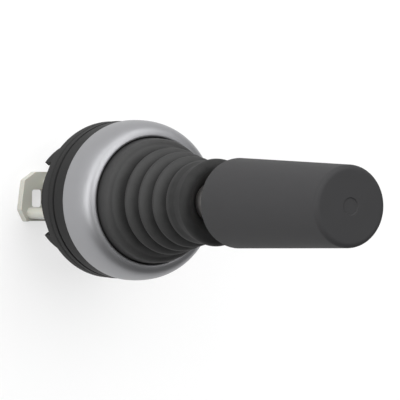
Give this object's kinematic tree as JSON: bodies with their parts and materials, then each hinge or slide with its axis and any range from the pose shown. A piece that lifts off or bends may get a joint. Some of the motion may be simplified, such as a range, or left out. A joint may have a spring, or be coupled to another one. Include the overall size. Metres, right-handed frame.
{
  "type": "industrial joystick",
  "caption": "Panel joystick: tapered grip on a steel lever, ribbed bellows, metal bezel ring, round barrel for a panel hole and spring-loaded contact plungers at the back.",
  "frame": {"origin": "centre of the barrel in the panel's front face, where the seal rests", "axes": "+Z along the lever out of the panel, +X east, the way the lever tilts, and +Y north"},
  "size_m": [0.0295, 0.0294, 0.098],
  "materials": {
    "black_plastic": "fine matt",
    "grip_plastic": "smooth satin",
    "rubber": "soft matt",
    "bezel_metal": "satin metallic",
    "steel": "turned",
    "spring_steel": "bright",
    "brass": "turned",
    "pale_plastic": "smooth",
    "grey_plastic": "fine matt"
  },
  "bodies": {
    "root": {"housing": "black_plastic", "panel_seal": "rubber", "bezel_ring": "bezel_metal", "bellows": "rubber", "bellows_clamp_ring": "black_plastic", "bearing_ring": "grey_plastic", "axle_pins": "steel", "gate_plate": "steel", "bearing_circlip": "spring_steel", "plunger_guide": "black_plastic", "return_spring": "spring_steel", "plunger_spring_east": "spring_steel", "plunger_spring_west": "spring_steel"},
    "lever": {"lever_shaft": "steel", "lever_hub": "steel", "rocker_arm": "steel", "retaining_clip": "spring_steel", "handle_grip": "grip_plastic", "handle_insert": "brass"},
    "contact_east": {"plunger_east": "pale_plastic"},
    "contact_west": {"plunger_west": "pale_plastic"}
  },
  "joints": [
    {"name": "lever_tilt", "type": "hinge", "parent": "root", "child": "lever", "pos_m": [0, 0, 0.0066], "axis": [0, 1, 0], "range_deg": [-12, 12], "stiffness_Nm_per_rad": 1, "deforming": ["bellows", "return_spring"]},
    {"name": "push_east", "type": "slide", "parent": "root", "child": "contact_east", "axis": [0, 0, 1], "range_m": [-0.0015, 0.0015], "deforming": ["plunger_spring_east"]},
    {"name": "push_west", "type": "slide", "parent": "root", "child": "contact_west", "axis": [0, 0, 1], "range_m": [-0.0015, 0.0015], "deforming": ["plunger_spring_west"]}
  ],
  "couplings": [
    {"joint": "push_east", "follows": "lever_tilt", "m_per_rad": -0.0069},
    {"joint": "push_west", "follows": "lever_tilt", "m_per_rad": 0.0069}
  ]
}
